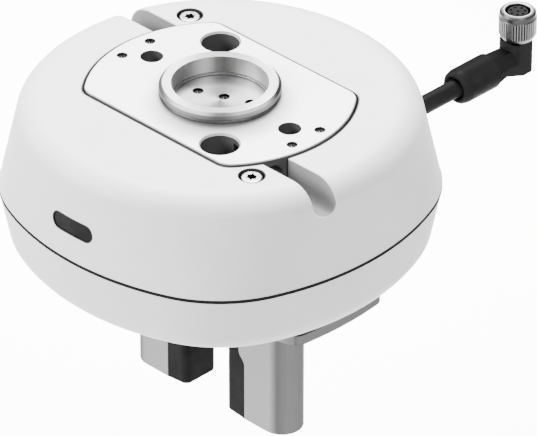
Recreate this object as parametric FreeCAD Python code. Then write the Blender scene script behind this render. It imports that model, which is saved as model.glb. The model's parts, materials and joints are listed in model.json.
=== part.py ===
import FreeCAD, Part
import math
import os

# Electric parallel gripper for a robot wrist, in millimetres.
# The origin is the centre of the robot side flange face and +Z points to the robot.
# The jaws travel along X, the status window faces -Y and the cable leaves along +Y.

# Robot side flange plate
flange_radius = 34.9
flange_corner_radius = 5.0
flange_edge_chamfer = 0.25
flange_thickness = 12.0
bolt_circle = 50.0
stud_bore_radius = 5.0
stud_bore_chamfer = 0.35
stud_wall = 1.32
dowel_bore_radius = 3.0
dowel_bore_depth = 8.0
flange_screw_setback = 4.1
flange_screw_y = 5.0
clamp_depth = 4.2
clamp_screw_radius = 2.1
clamp_screw_length = 6.0
clamp_key_across = 2.5

# Small recessed socket screws
small_head_radius = 1.15
small_head_height = 1.0
small_head_recess = 0.5
small_screw_radius = 0.8
small_screw_length = 5.5
small_key_across = 1.1

# Centring ring
ring_radius = 15.75
ring_height = 3.1
ring_chamfer = 0.7
ring_bore_radius = 12.55
ring_recess_depth = 5.3
ring_foot_step = 0.45
ring_seat_radius = 14.4
ring_seat_depth = 5.6
ring_groove_width = 0.4
ring_groove_depth = 0.25
ring_groove_rise = 0.7
recess_screw_pitch = 7.3
recess_screw_angle = 22.0
recess_screw_offset = 1.75
recess_screw_shift = -0.3

# Housing shells
housing_flat = 53.7
housing_bulge = 3.4
dome_drop = 0.5
dome_flat_draft = 4.4
dome_corner_draft = 13.0
dome_edge_radius = 7.0
base_flat_draft = 7.9
base_corner_draft = 11.3
base_edge_radius = 7.5
wall = 2.4
seal_thickness = 0.7
seal_inset = 0.1
flange_gap = 0.6
collar_wall = 1.6
collar_lift = 0.5

# Key channels beside the flange plate
channel_offset = 12.9
channel_width = 6.3
channel_floor = 9.0
channel_edge_radius = 0.5

# Cover screws through the dome
cover_screw_angle = 33.4
cover_head_radius = 2.85
cover_head_height = 2.2
cover_head_recess = 0.3
cover_head_gap = 0.57
cover_screw_radius = 1.5
cover_screw_length = 12.0
cover_seat = 3.0
cover_boss_radius = 4.4
star_radius = 1.55

# Status window and its light board
window_length = 14.0
window_height = 4.4
window_depth = 16.9
window_gap = 0.06
window_recess = 0.3
window_thickness = 3.4
light_board_thickness = 1.0
light_board_margin = 1.0
light_gap = 0.3

# Frame and control board
frame_thickness = 4.0
frame_recess = 0.3
frame_gap = 0.4
post_radius = 2.6
post_gap = 0.3
pedestal_setback = 4.7
pedestal_depth = 7.6
pedestal_width = 18.0
pedestal_corner_radius = 1.5
pedestal_screw_radius = 2.0
pedestal_screw_wall = 0.6
board_thickness = 1.6
board_length = 46.0
board_back_gap = 5.3
board_setback = 8.3
board_stand = 5.5
board_post_radius = 2.2
board_inset = 3.0
board_tongue = 18.0
chip_size = 8.0
chip_height = 1.2
base_screw_setback = 12.5
base_boss_radius = 3.6

# Motor and gear stage
gear_module = 0.8
motor_pinion_teeth = 12
drive_gear_teeth = 32
gear_face = 3.0
gear_headroom = 1.0
motor_headroom = 1.0
motor_gap = 1.1
motor_edge_radius = 0.8
motor_height = 10.5
motor_shaft_radius = 1.0
motor_screw_spread = 12.0
gear_backlash = 0.16

# Rack drive
rack_pinion_teeth_per_side = 8
rack_height = 4.1
rack_gap = 0.4
rack_back = 6.4
rack_overhang = 7.0
shaft_radius = 2.0
bearing_radius = 4.5
bearing_width = 4.0
bearing_wall = 2.2
shaft_gap = 0.8

# Guide rods, their holders and the carriages
rod_radius = 1.75
rod_spread = 34.0
bush_wall = 0.75
holder_thickness = 4.0
holder_gap = 0.6
holder_margin = 3.4
carriage_wall = 0.65
carriage_margin = 4.0
carriage_inner = 16.0
carriage_stop = 2.3
riser_height = 0.4
sliding_gap = 0.3
running_fit = 0.03
neck_inner = 20.0
neck_half_width = 15.0
slot_gap = 0.4
slot_corner_radius = 2.0

# Fingers and pads
pad_gap = 14.6
closed_gap = 0.4
pad_thickness = 6.9
pad_step = 2.1
pad_height = 21.8
pad_step_rise = 16.3
pad_step_height = 4.5
pad_corner_radius = 2.0
finger_depth = 13.9
finger_width = 11.4
finger_length = 41.8
foot_gap = 0.6
foot_thickness = 3.5
foot_reach = 45.8
foot_half_width = 19.0
foot_far_width = 15.1
foot_end_radius = 100.0
foot_corner_radius = 2.5
foot_far_corner_radius = 4.0
foot_turn_x = 34.0
finger_screw_setback = 3.5
finger_screw_margin = 0.5
finger_screw_radius = 1.5
finger_head_radius = 2.8
finger_head_height = 2.0
finger_screw_length = 7.5

# Cable and its angled plug
cable_radius = 2.55
cable_drop = 9.8
grommet_stem = 1.2
grommet_flange = 2.0
grommet_flange_width = 1.8
grommet_nose = 2.6
plug_distance = 58.1
plug_boot_length = 13.7
plug_reach = 10.6
plug_boot_radius = 4.95
plug_boot_recess = 1.5
plug_elbow_width = 7.2
plug_elbow_back = 4.3
plug_elbow_front = 3.3
plug_elbow_drop = 4.4
plug_elbow_rise = 5.7
plug_shank_rise = 4.3
plug_shank_waist = 3.5
plug_shank_facet = 0.45
plug_neck_length = 3.0
plug_neck_drop = 2.0
plug_stem_radius = 3.0
insert_radius = 2.75
insert_depth = 0.45
contact_radius = 0.4
contact_circle = 1.95
nut_radius = 5.15
nut_height = 8.2
nut_bore_radius = 3.45
nut_lip_height = 1.4
nut_gap = 0.3
nut_collar_height = 1.9
nut_collar_step = 0.2
nut_rim_chamfer = 0.5
nut_foot_height = 1.5
nut_foot_step = 0.8
knurl_groups = 4
knurl_grooves = 9
knurl_pitch = 8.3
knurl_depth = 0.3
knurl_turn = -26.0

# Levels, from the flange face down
bush_radius = rod_radius + bush_wall
carriage_height = 2 * (bush_radius + carriage_wall)
flange_bottom = -flange_thickness
gear_top = flange_bottom - gear_headroom
gear_bottom = gear_top - gear_face
motor_top = gear_bottom - motor_headroom
frame_top = motor_top - motor_height
lower_rim = frame_top + frame_recess
upper_rim = lower_rim + seal_thickness
dome_top = -dome_drop
frame_bottom = frame_top - frame_thickness
rack_top = frame_bottom - rack_gap
rack_bottom = rack_top - rack_height
carriage_top = rack_bottom - riser_height
carriage_bottom = carriage_top - carriage_height
floor_top = carriage_bottom - sliding_gap
base_bottom = floor_top - wall
foot_top = base_bottom - foot_gap
foot_bottom = foot_top - foot_thickness
finger_tip = foot_bottom - finger_length
dome_height = dome_top - upper_rim
base_height = lower_rim - base_bottom
cover_seat_z = dome_top - cover_head_recess - cover_head_height
cover_boss_bottom = cover_seat_z - cover_seat
rod_z = carriage_top - carriage_height / 2
cable_z = lower_rim - cable_drop
pedestal_seat = frame_bottom + frame_thickness * 0.9
board_bottom = frame_top + board_stand
board_top = board_bottom + board_thickness

# Lengths that follow from the choices above
rack_pinion_teeth = 2 * rack_pinion_teeth_per_side
rack_pinion_radius = gear_module * rack_pinion_teeth / 2
motor_y = gear_module * (motor_pinion_teeth + drive_gear_teeth) / 2
tower_radius = bearing_radius + bearing_wall
motor_radius = motor_y - tower_radius - motor_gap
stroke = (pad_gap - closed_gap) / 2
pad_face = pad_gap / 2
pad_back = pad_face + pad_thickness
finger_outer = pad_back + finger_depth
finger_half_width = finger_width / 2
rod_y = rod_spread / 2
carriage_half_width = rod_y + carriage_margin
holder_half_width = rod_y + holder_margin
stud_offset = bolt_circle / 2 / math.sqrt(2)
flange_half_width = stud_offset + stud_bore_radius + stud_wall
flange_screw_x = flange_radius - flange_screw_setback
pedestal_x = flange_radius - pedestal_setback
pedestal_screw_engagement = flange_thickness - dowel_bore_depth - pedestal_screw_wall
cover_reach = flange_radius + flange_gap + collar_wall + post_gap + post_radius
cover_counterbore_radius = cover_head_radius + cover_head_gap
plug_axis_y = housing_flat + plug_distance
plug_boot_front = plug_axis_y - plug_reach
plug_boot_back = plug_boot_front - plug_boot_length

# Gear tooth proportions, as shares of the module
PRESSURE_ANGLE = math.radians(20.0)
TOOTH_ADDENDUM = 0.75
TOOTH_DEDENDUM = 1.15

Vec = FreeCAD.Vector
X_AXIS = Vec(1, 0, 0)
Y_AXIS = Vec(0, 1, 0)
Z_AXIS = Vec(0, 0, 1)
ORIGIN = Vec(0, 0, 0)

os.makedirs("parts", exist_ok=True)


def save(name, *solids):
    """Writes one node, which may be a group of separate solids."""
    shape = solids[0] if len(solids) == 1 else Part.makeCompound(list(solids))
    shape.exportStep("parts/" + name + ".step")


def cylinder(radius, z_low, z_high, x=0.0, y=0.0):
    return Part.makeCylinder(radius, z_high - z_low, Vec(x, y, z_low), Z_AXIS)


def cylinder_x(radius, x_low, x_high, y, z):
    return Part.makeCylinder(radius, x_high - x_low, Vec(x_low, y, z), X_AXIS)


def cylinder_y(radius, y_low, y_high, x, z):
    return Part.makeCylinder(radius, y_high - y_low, Vec(x, y_low, z), Y_AXIS)


def block(x_low, x_high, y_low, y_high, z_low, z_high):
    corner = Vec(x_low, y_low, z_low)
    return Part.makeBox(x_high - x_low, y_high - y_low, z_high - z_low, corner)


def prism(wire, depth):
    """Extrudes a closed flat wire along the vector depth."""
    return Part.Face(wire).extrude(depth)


def polygon(points):
    return Part.makePolygon(points + [points[0]])


def polar(radius, degrees, z):
    angle = math.radians(degrees)
    return Vec(radius * math.cos(angle), radius * math.sin(angle), z)


def turned(points, x=0.0, y=0.0):
    """Revolves a closed outline of (radius, z) points about a vertical axis."""
    wire = polygon([Vec(radius, 0, z) for radius, z in points])
    solid = Part.Face(wire).revolve(ORIGIN, Z_AXIS, 360)
    solid.translate(Vec(x, y, 0))
    return solid


def turned_y(points, z):
    """Revolves a closed outline of (radius, y) points about an axis along Y at height z."""
    wire = polygon([Vec(radius, along, 0) for radius, along in points])
    solid = Part.Face(wire).revolve(ORIGIN, Y_AXIS, 360)
    solid.translate(Vec(0, 0, z))
    return solid


def rounded_outline(corners, z=0.0):
    """Closed wire through (x, y, radius) corners, each rounded by its own arc."""
    edges = []
    count = len(corners)
    ends = []
    for i in range(count):
        x, y, radius = corners[i]
        here = Vec(x, y, z)
        back = Vec(corners[i - 1][0], corners[i - 1][1], z) - here
        ahead = Vec(corners[(i + 1) % count][0], corners[(i + 1) % count][1], z) - here
        back.normalize()
        ahead.normalize()
        half = back.getAngle(ahead) / 2
        if radius <= 0:
            ends.append((here, None, here))
            continue
        reach = radius / math.tan(half)
        inward = (back + ahead).normalize()
        middle = here + inward * (radius / math.sin(half) - radius)
        ends.append((here + back * reach, middle, here + ahead * reach))
    for i in range(count):
        start, middle, stop = ends[i]
        if middle is not None:
            edges.append(Part.Arc(start, middle, stop).toShape())
        following = ends[(i + 1) % count][0]
        if stop.distanceToPoint(following) > 1e-6:
            edges.append(Part.LineSegment(stop, following).toShape())
    return Part.Wire(edges)


def rounded_box(x_low, x_high, y_low, y_high, z_low, z_high, radius):
    corners = [(x_low, y_low), (x_high, y_low), (x_high, y_high), (x_low, y_high)]
    wire = rounded_outline([(x, y, radius) for x, y in corners], z_low)
    return prism(wire, Vec(0, 0, z_high - z_low))


def squircle(flat, bulge, z):
    """Rounded square of four side arcs and four corner arcs, all tangent.

    Its flat sides lie flat from the axis, and its corners reach flat + bulge."""
    half = math.radians(22.5)
    lean = math.cos(half) - math.sin(half)
    share = 1 + (math.sqrt(2) * math.sin(half) - 1) / lean
    spread = bulge / share
    side_radius = flat + spread
    corner_radius = side_radius - spread / lean
    corner_centre = math.sqrt(2) * spread * math.sin(half) / lean
    edges = []
    for step in range(8):
        facing = math.radians(45 * step)
        on_side = step % 2 == 0
        radius = side_radius if on_side else corner_radius
        reach = flat - side_radius if on_side else corner_centre
        centre = Vec(reach * math.cos(facing), reach * math.sin(facing), z)
        points = []
        for angle in (facing - half, facing, facing + half):
            points.append(centre + Vec(radius * math.cos(angle), radius * math.sin(angle), 0))
        edges.append(Part.Arc(*points).toShape())
    return Part.Wire(edges)


def shell_form(rim, way, height, drafts, edge_radius, inset):
    """Solid of one housing half, drafted from its rim to a rounded far edge, drawn in by inset."""
    rise = height - inset
    flat = housing_flat - inset
    end_flat = flat - rise * math.tan(math.radians(drafts[0]))
    end_corner = flat + housing_bulge - rise * math.tan(math.radians(drafts[1]))
    end = rim + way * rise
    sections = [squircle(flat, housing_bulge, rim), squircle(end_flat, end_corner - end_flat, end)]
    solid = Part.makeLoft(sections, True, True)
    far_edges = [e for e in solid.Edges if abs(e.CenterOfMass.z - end) < 0.01]
    return solid.makeFillet(edge_radius - inset, far_edges)


def dome_form(inset):
    drafts = (dome_flat_draft, dome_corner_draft)
    return shell_form(upper_rim, 1, dome_height, drafts, dome_edge_radius, inset)


def base_form(inset):
    drafts = (base_flat_draft, base_corner_draft)
    return shell_form(lower_rim, -1, base_height, drafts, base_edge_radius, inset)


def base_reach(drop, inset, draft, bulge):
    """Distance of the lower shell's wall from the axis, some drop below its rim."""
    lean = math.radians(draft)
    radius = base_edge_radius - inset
    centre_drop = base_height - inset - radius
    tangent_drop = centre_drop + radius * math.sin(lean)
    straight = housing_flat + bulge - inset
    if drop <= tangent_drop:
        return straight - drop * math.tan(lean)
    centre = straight - tangent_drop * math.tan(lean) - radius * math.cos(lean)
    return centre + math.sqrt(max(radius**2 - (drop - centre_drop) ** 2, 0.0))


def gear_outline(teeth, z, tooth_angle):
    """Involute gear with one tooth centred at tooth_angle, thinned for backlash."""
    pitch = gear_module * teeth / 2
    base = pitch * math.cos(PRESSURE_ANGLE)
    tip = pitch + TOOTH_ADDENDUM * gear_module
    root = pitch - TOOTH_DEDENDUM * gear_module
    start = max(base, root)
    involute_at_pitch = math.tan(PRESSURE_ANGLE) - PRESSURE_ANGLE
    half_tooth = math.pi / (2 * teeth) - gear_backlash / (2 * pitch) + involute_at_pitch
    flank = [(root, half_tooth)] if root < base else []
    for share in (0.0, 0.5, 1.0):
        radius = start + (tip - start) * share
        roll = math.acos(min(base / radius, 1.0))
        flank.append((radius, half_tooth - math.tan(roll) + roll))
    points = []
    for tooth in range(teeth):
        middle = tooth_angle + 2 * math.pi * tooth / teeth
        side = [(radius, middle - turn) for radius, turn in flank]
        side += [(radius, middle + turn) for radius, turn in reversed(flank)]
        points += [Vec(radius * math.cos(a), radius * math.sin(a), z) for radius, a in side]
    return polygon(points)


def rack_outline(x_low, x_high, toothed_to, z):
    """Rack above the pinion, its teeth pointing to -Y, with a gap between teeth at x = 0."""
    pitch = math.pi * gear_module
    pitch_line = rack_pinion_radius
    tip = pitch_line - TOOTH_ADDENDUM * gear_module
    root = pitch_line + TOOTH_DEDENDUM * gear_module
    half_tooth = pitch / 4 - gear_backlash / 2
    lean = math.tan(PRESSURE_ANGLE)
    half_tip = half_tooth - TOOTH_ADDENDUM * gear_module * lean
    half_root = half_tooth + TOOTH_DEDENDUM * gear_module * lean
    points = [Vec(x_low, root + rack_back, z), Vec(x_low, root, z)]
    first = math.ceil((x_low + half_root) / pitch - 0.5)
    last = math.floor((toothed_to - half_root) / pitch - 0.5)
    for tooth in range(first, last + 1):
        middle = (tooth + 0.5) * pitch
        for offset, level in ((-half_root, root), (-half_tip, tip), (half_tip, tip), (half_root, root)):
            points.append(Vec(middle + offset, level, z))
    points += [Vec(x_high, root, z), Vec(x_high, root + rack_back, z)]
    return polygon(points)


def hexagon(across, z, x=0.0, y=0.0):
    radius = across / math.sqrt(3)
    corners = [math.radians(60 * i) for i in range(6)]
    return polygon([Vec(x + radius * math.cos(a), y + radius * math.sin(a), z) for a in corners])


def cap_screw(radius, length, head_radius, head_height, key_across):
    """Upright socket screw with the underside of its head at z = 0."""
    screw = cylinder(head_radius, 0, head_height).fuse(cylinder(radius, -length, 0))
    key_depth = head_height * 0.6
    socket = prism(hexagon(key_across, head_height - key_depth), Vec(0, 0, key_depth))
    return screw.cut(socket).removeSplitter()


def placed(shape, x, y, z, upside_down=False):
    copy = shape.copy()
    if upside_down:
        copy.rotate(ORIGIN, X_AXIS, 180)
    copy.translate(Vec(x, y, z))
    return copy


def half_turn(shape):
    """The opposite jaw's copy of a piece."""
    copy = shape.copy()
    copy.rotate(ORIGIN, Z_AXIS, 180)
    return copy


def corner_places(x, y):
    return [(x, y), (-x, y), (-x, -y), (x, -y)]


def diagonal_places(x, y):
    """The two opposite places that carry the clamp studs and the cover screws."""
    return [(x, -y), (-x, y)]


stud_places = diagonal_places(stud_offset, stud_offset)
cover_turn = math.radians(cover_screw_angle)
cover_places = diagonal_places(cover_reach * math.cos(cover_turn), cover_reach * math.sin(cover_turn))
flange_screw_places = corner_places(flange_screw_x, flange_screw_y)
base_screw_reach = (housing_flat + housing_bulge - base_screw_setback) / math.sqrt(2)
base_screw_places = corner_places(base_screw_reach, base_screw_reach)
pedestal_places = [(pedestal_x, 0.0), (-pedestal_x, 0.0)]
recess_lean = math.radians(recess_screw_angle)
recess_screw_places = []
for place in (-1, 0, 1):
    along = place * recess_screw_pitch
    across_y = recess_screw_offset + along * math.sin(recess_lean)
    recess_screw_places.append((recess_screw_shift + along * math.cos(recess_lean), across_y))


def flange_outline(grow, z):
    """Disc with two flats and rounded corners, grown by a clearance or a wall."""
    radius = flange_radius + grow
    half_width = flange_half_width + grow
    corner = flange_corner_radius + grow
    inner = radius - corner
    corner_y = half_width - corner
    corner_x = math.sqrt(inner**2 - corner_y**2)
    spread = math.atan2(corner_y, corner_x)
    edges = []
    for side in (1, -1):
        ends = [Vec(side * radius * math.cos(a), side * radius * math.sin(a), z) for a in (-spread, 0, spread)]
        edges.append(Part.Arc(*ends).toShape())
        centre = Vec(side * corner_x, side * corner_y, z)
        turn = [spread, (spread + math.pi / 2) / 2, math.pi / 2]
        points = [centre + Vec(side * corner * math.cos(a), side * corner * math.sin(a), 0) for a in turn]
        edges.append(Part.Arc(*points).toShape())
        far = Vec(-side * corner_x, side * half_width, z)
        edges.append(Part.LineSegment(points[2], far).toShape())
        centre = Vec(-side * corner_x, side * corner_y, z)
        turn = [math.pi / 2, math.pi - (spread + math.pi / 2) / 2, math.pi - spread]
        points = [centre + Vec(side * corner * math.cos(a), side * corner * math.sin(a), 0) for a in turn]
        edges.append(Part.Arc(*points).toShape())
    return Part.Wire(Part.__sortEdges__(edges))


def small_screw():
    head = (small_head_radius, small_head_height, small_key_across)
    return cap_screw(small_screw_radius, small_screw_length, *head)


def small_screw_hole(x, y, face):
    """Counterbore and clearance hole for a small screw sunk below a face."""
    seat = face - small_head_recess - small_head_height
    head = cylinder(small_head_radius + running_fit * 4, seat, face + 1, x, y)
    shank = cylinder(small_screw_radius + running_fit, seat - small_screw_length - 0.2, seat, x, y)
    return head.fuse(shank)


ring_floor = ring_height - ring_recess_depth
small_seat_drop = small_head_recess + small_head_height


def flange_plate():
    plate = prism(flange_outline(0.0, flange_bottom), Vec(0, 0, flange_thickness))
    plate = plate.makeChamfer(flange_edge_chamfer, [e for e in plate.Edges if e.BoundBox.ZMin > -0.01])
    cuts = [cylinder(ring_seat_radius, -ring_seat_depth, 1)]
    for x, y in stud_places:
        bore = cylinder(stud_bore_radius, flange_bottom - 1, 1, x, y)
        mouth = stud_bore_radius + stud_bore_chamfer
        cone = [(0, -stud_bore_chamfer), (stud_bore_radius, -stud_bore_chamfer), (mouth, 0), (mouth, 1), (0, 1)]
        cuts.append(bore.fuse(turned(cone, x, y)))
        side = 1 if x > 0 else -1
        clamp_y = -side * channel_offset
        clamp_ends = sorted((side * flange_radius, x))
        cuts.append(cylinder_x(clamp_screw_radius + running_fit, *clamp_ends, clamp_y, -clamp_depth))
    for x, y in ((bolt_circle / 2, 0.0), (-bolt_circle / 2, 0.0)):
        cuts.append(cylinder(dowel_bore_radius, -dowel_bore_depth, 1, x, y))
    for x, y in flange_screw_places:
        cuts.append(small_screw_hole(x, y, 0.0))
    for x, y in recess_screw_places:
        cuts.append(small_screw_hole(x, y, ring_floor))
    for x, y in pedestal_places:
        thread = pedestal_screw_radius + running_fit
        cuts.append(cylinder(thread, flange_bottom - 1, flange_bottom + pedestal_screw_engagement, x, y))
    return plate.cut(cuts).removeSplitter()


def centring_ring():
    groove = ring_radius - ring_groove_depth
    rise = ring_groove_rise
    outline = [
        (0, -ring_seat_depth),
        (ring_seat_radius, -ring_seat_depth),
        (ring_seat_radius, 0),
        (ring_radius, 0),
        (ring_radius, rise),
        (groove, rise),
        (groove, rise + ring_groove_width),
        (ring_radius, rise + ring_groove_width),
        (ring_radius, ring_height - ring_chamfer),
        (ring_radius - ring_chamfer, ring_height),
        (ring_bore_radius, ring_height),
        (ring_bore_radius, ring_floor + ring_foot_step),
        (ring_bore_radius - ring_foot_step, ring_floor + ring_foot_step),
        (ring_bore_radius - ring_foot_step, ring_floor),
        (0, ring_floor),
    ]
    holes = [small_screw_hole(x, y, ring_floor) for x, y in recess_screw_places]
    return turned(outline).cut(holes).removeSplitter()


def channel(grow, x_from, x_to, side):
    """U shaped key channel along X, grown by a wall for the trough around it."""
    half = channel_width / 2 + grow
    y = -side * channel_offset
    centre_z = -channel_floor + channel_width / 2
    ends = sorted((side * x_from, side * x_to))
    straight = block(ends[0], ends[1], y - half, y + half, centre_z, 2.0)
    return straight.fuse(cylinder_x(half, ends[0], ends[1], y, centre_z))


def window_prism(grow, y_low, y_high):
    """Slot with round ends, along Y, for the status window."""
    half_height = window_height / 2 + grow
    straight = window_length / 2 - window_height / 2
    z = -window_depth
    slot = block(-straight, straight, y_low, y_high, z - half_height, z + half_height)
    ends = [cylinder_y(half_height, y_low, y_high, x, z) for x in (-straight, straight)]
    return slot.fuse(ends).removeSplitter()


def channelled(dome):
    """Dome with both key channels cut into it, their outer edges rounded."""
    channels = [channel(0.0, flange_half_width, housing_flat + 2 * housing_bulge, side) for side in (1, -1)]
    dome = dome.cut(channels)
    half = channel_width / 2
    channel_centre = half - channel_floor
    rims = []
    for e in dome.Edges:
        beside = all(abs(abs(v.Y) - channel_offset) < half + 0.01 for v in e.Vertexes)
        outside = e.BoundBox.ZMax > dome_top - 0.01 or max(abs(v.X) for v in e.Vertexes) > flange_radius
        end_wall = e.BoundBox.XLength < 0.01 and abs(abs(e.BoundBox.XMin) - flange_half_width) < 0.01
        along_floor = e.BoundBox.ZLength < 0.01 and abs(e.BoundBox.ZMin - channel_centre) < 0.01
        if beside and outside and not end_wall and not along_floor:
            rims.append(e)
    return dome.makeFillet(channel_edge_radius, rims)


def upper_housing():
    """Dome, hollow but for a collar round the plate, a trough under each channel and the screw bosses."""
    roof = dome_top - wall / 2
    collar_bottom = flange_bottom + collar_lift
    kept = [prism(flange_outline(flange_gap + collar_wall, collar_bottom), Vec(0, 0, roof - collar_bottom))]
    for side in (1, -1):
        kept.append(channel(wall, flange_half_width, housing_flat + housing_bulge, side))
    for x, y in cover_places:
        kept.append(cylinder(cover_boss_radius, cover_boss_bottom, roof, x, y))
    cuts = [dome_form(wall).cut(kept)]
    cuts.append(prism(flange_outline(flange_gap, collar_bottom - 1), Vec(0, 0, 2 - collar_bottom)))
    for x, y in cover_places:
        cuts.append(cylinder(cover_counterbore_radius, cover_seat_z, 1, x, y))
        cuts.append(cylinder(cover_screw_radius + running_fit, cover_boss_bottom - 1, 1, x, y))
    cuts.append(window_prism(window_gap, -housing_flat - 1, -housing_flat + 3 * wall))
    return channelled(dome_form(0.0)).cut(cuts).removeSplitter()


def lower_housing():
    outer = base_form(0.0)
    shell = outer.cut(base_form(wall))
    bosses = [cylinder(base_boss_radius, base_bottom, frame_bottom, x, y) for x, y in base_screw_places]
    shell = shell.fuse([boss.common(outer) for boss in bosses])
    cuts = []
    for x, y in base_screw_places:
        cuts.append(cylinder(cover_screw_radius + running_fit, base_bottom - 1, frame_bottom + 1, x, y))
        head = cover_head_radius + running_fit * 4
        cuts.append(cylinder(head, base_bottom - 1, base_bottom + cover_head_recess + cover_head_height, x, y))
    slot_inner = neck_inner - stroke - slot_gap
    slot_outer = carriage_outer + slot_gap
    slot_half = neck_half_width + slot_gap
    for turn in (0, 180):
        slot = rounded_box(
            slot_inner, slot_outer, -slot_half, slot_half, base_bottom - 1, floor_top + 1, slot_corner_radius
        )
        slot.rotate(ORIGIN, Z_AXIS, turn)
        cuts.append(slot)
    stem = cable_radius + grommet_stem + running_fit
    cuts.append(cylinder_y(stem, housing_flat - 4 * wall, housing_flat + 1, 0, cable_z))
    return shell.cut(cuts).removeSplitter()


def housing_seal():
    outline = squircle(housing_flat - seal_inset, housing_bulge, lower_rim)
    inside = squircle(housing_flat - wall, housing_bulge, lower_rim)
    rise = Vec(0, 0, seal_thickness)
    return prism(outline, rise).cut(prism(inside, rise))


window_rise = -window_depth - upper_rim
window_face = housing_flat - math.tan(math.radians(dome_flat_draft)) * window_rise
window_back = window_face - window_thickness


def status_window():
    lens = window_prism(0.0, -housing_flat, -window_back)
    return lens.common(dome_form(window_recess))


def light_board():
    """Upright board behind the window, with three lamps, on the control board's tongue."""
    half_length = window_length / 2
    front = -window_back + light_gap + light_board_margin
    high = -window_depth + window_height / 2
    board = block(-half_length, half_length, front, front + light_board_thickness, board_top, high)
    lamps = []
    lamp = light_board_margin
    for x in (-half_length / 2, 0.0, half_length / 2):
        z = -window_depth
        lamps.append(block(x - lamp, x + lamp, front - lamp, front, z - lamp, z + lamp))
    return board.fuse(lamps).removeSplitter()


tongue_reach = window_back - light_gap - light_board_margin
board_back = tower_radius + board_back_gap
board_front = tongue_reach - board_setback


def control_board():
    half = board_length / 2
    board = block(-half, half, -board_front, -board_back, board_bottom, board_top)
    tongue = block(-board_tongue / 2, board_tongue / 2, -tongue_reach, -board_front, board_bottom, board_top)
    chips = []
    size = chip_size / 2
    y = -(board_front + board_back) / 2
    for x in (-half / 2, 0.0, half / 2):
        chips.append(block(x - size, x + size, y - size, y + size, board_top, board_top + chip_height))
    holes = []
    for x, y in board_post_places:
        holes.append(cylinder(small_screw_radius + running_fit, board_bottom - 1, board_top + 1, x, y))
    return board.fuse([tongue] + chips).cut(holes).removeSplitter()


board_half = board_length / 2 - board_inset
board_post_places = []
for post_y in (-board_back - board_inset, -board_front + board_inset):
    board_post_places += [(-board_half, post_y), (board_half, post_y)]

frame_rise = lower_rim - frame_bottom
frame_flat = base_reach(frame_rise, wall + frame_gap, base_flat_draft, 0.0)
frame_corner = base_reach(frame_rise, wall + frame_gap, base_corner_draft, housing_bulge)
holder_rise = lower_rim - (carriage_bottom + holder_gap)
holder_sagitta = holder_half_width**2 / (2 * housing_flat)
holder_outer = base_reach(holder_rise, wall, base_flat_draft, 0.0) - holder_sagitta - holder_gap
holder_inner = holder_outer - holder_thickness
carriage_outer = holder_inner - carriage_stop
holder_screw_y = rod_y - bush_radius - cover_head_radius
holder_screw_places = []
for place_x in (-holder_outer + holder_thickness / 2, holder_outer - holder_thickness / 2):
    holder_screw_places += [(place_x, -holder_screw_y), (place_x, holder_screw_y)]
motor_screw_places = [(-motor_screw_spread / 2, motor_y), (motor_screw_spread / 2, motor_y)]


def frame():
    """Cast chassis: plate, two flange pedestals, two cover posts, board posts and bearing tower."""
    plate = prism(squircle(frame_flat, frame_corner - frame_flat, frame_bottom), Vec(0, 0, frame_thickness))
    added = [cylinder(tower_radius, frame_bottom, gear_bottom - motor_headroom / 2)]
    half_depth = pedestal_depth / 2
    half_width = pedestal_width / 2
    for x, y in pedestal_places:
        added.append(
            rounded_box(
                x - half_depth, x + half_depth, -half_width, half_width, frame_bottom, flange_bottom,
                pedestal_corner_radius,
            )
        )
    for x, y in cover_places:
        added.append(cylinder(post_radius, frame_bottom, cover_boss_bottom, x, y))
    for x, y in board_post_places:
        added.append(cylinder(board_post_radius, frame_bottom, board_bottom, x, y))
    cuts = [cylinder(shaft_radius + shaft_gap, frame_bottom - 1, gear_top)]
    cuts.append(cylinder(bearing_radius, frame_bottom - 1, frame_bottom + bearing_width))
    cuts.append(cylinder(bearing_radius, gear_bottom - motor_headroom / 2 - bearing_width, gear_top))
    for x, y in pedestal_places:
        cuts.append(cylinder(pedestal_screw_radius + running_fit, frame_bottom - 1, flange_bottom + 1, x, y))
        cuts.append(cylinder(pedestal_screw_radius * 2, frame_bottom - 1, pedestal_seat, x, y))
    for x, y in cover_places:
        low = cover_seat_z - cover_screw_length - 1
        cuts.append(cylinder(cover_screw_radius + running_fit, low, cover_boss_bottom + 1, x, y))
    for x, y in base_screw_places:
        cuts.append(cylinder(cover_screw_radius + running_fit, frame_bottom - 1, frame_top + 1, x, y))
    for x, y in board_post_places:
        low = board_top - small_screw_length - 0.2
        cuts.append(cylinder(small_screw_radius + running_fit, low, board_top, x, y))
    for x, y in motor_screw_places:
        cuts.append(cylinder(small_screw_radius + running_fit, frame_bottom - 1, frame_top + 1, x, y))
        head = small_head_radius + running_fit * 4
        cuts.append(cylinder(head, frame_bottom - 1, frame_bottom + small_seat_drop, x, y))
    for x, y in holder_screw_places:
        cuts.append(cylinder(cover_screw_radius + running_fit, frame_bottom - 1, frame_top + 1, x, y))
    return plate.fuse(added).cut(cuts).removeSplitter()


def motor():
    """Flat motor standing on the frame, its shaft bore open at the top."""
    body = cylinder(motor_radius, frame_top, motor_top, 0, motor_y)
    body = body.makeFillet(motor_edge_radius, [e for e in body.Edges if e.BoundBox.ZMin > motor_top - 0.01])
    cuts = [cylinder(motor_shaft_radius + running_fit, frame_top + 1, motor_top + 1, 0, motor_y)]
    for x, y in motor_screw_places:
        depth = frame_bottom + small_seat_drop + small_screw_length + 0.2
        cuts.append(cylinder(small_screw_radius + running_fit, frame_top - 1, depth, x, y))
    return body.cut(cuts).removeSplitter()


def shaft_bearings():
    bearings = []
    for low in (frame_bottom, gear_bottom - motor_headroom / 2 - bearing_width):
        ring = cylinder(bearing_radius, low, low + bearing_width)
        bearings.append(ring.cut(cylinder(shaft_radius + running_fit, low - 1, low + bearing_width + 1)))
    return bearings


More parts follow.
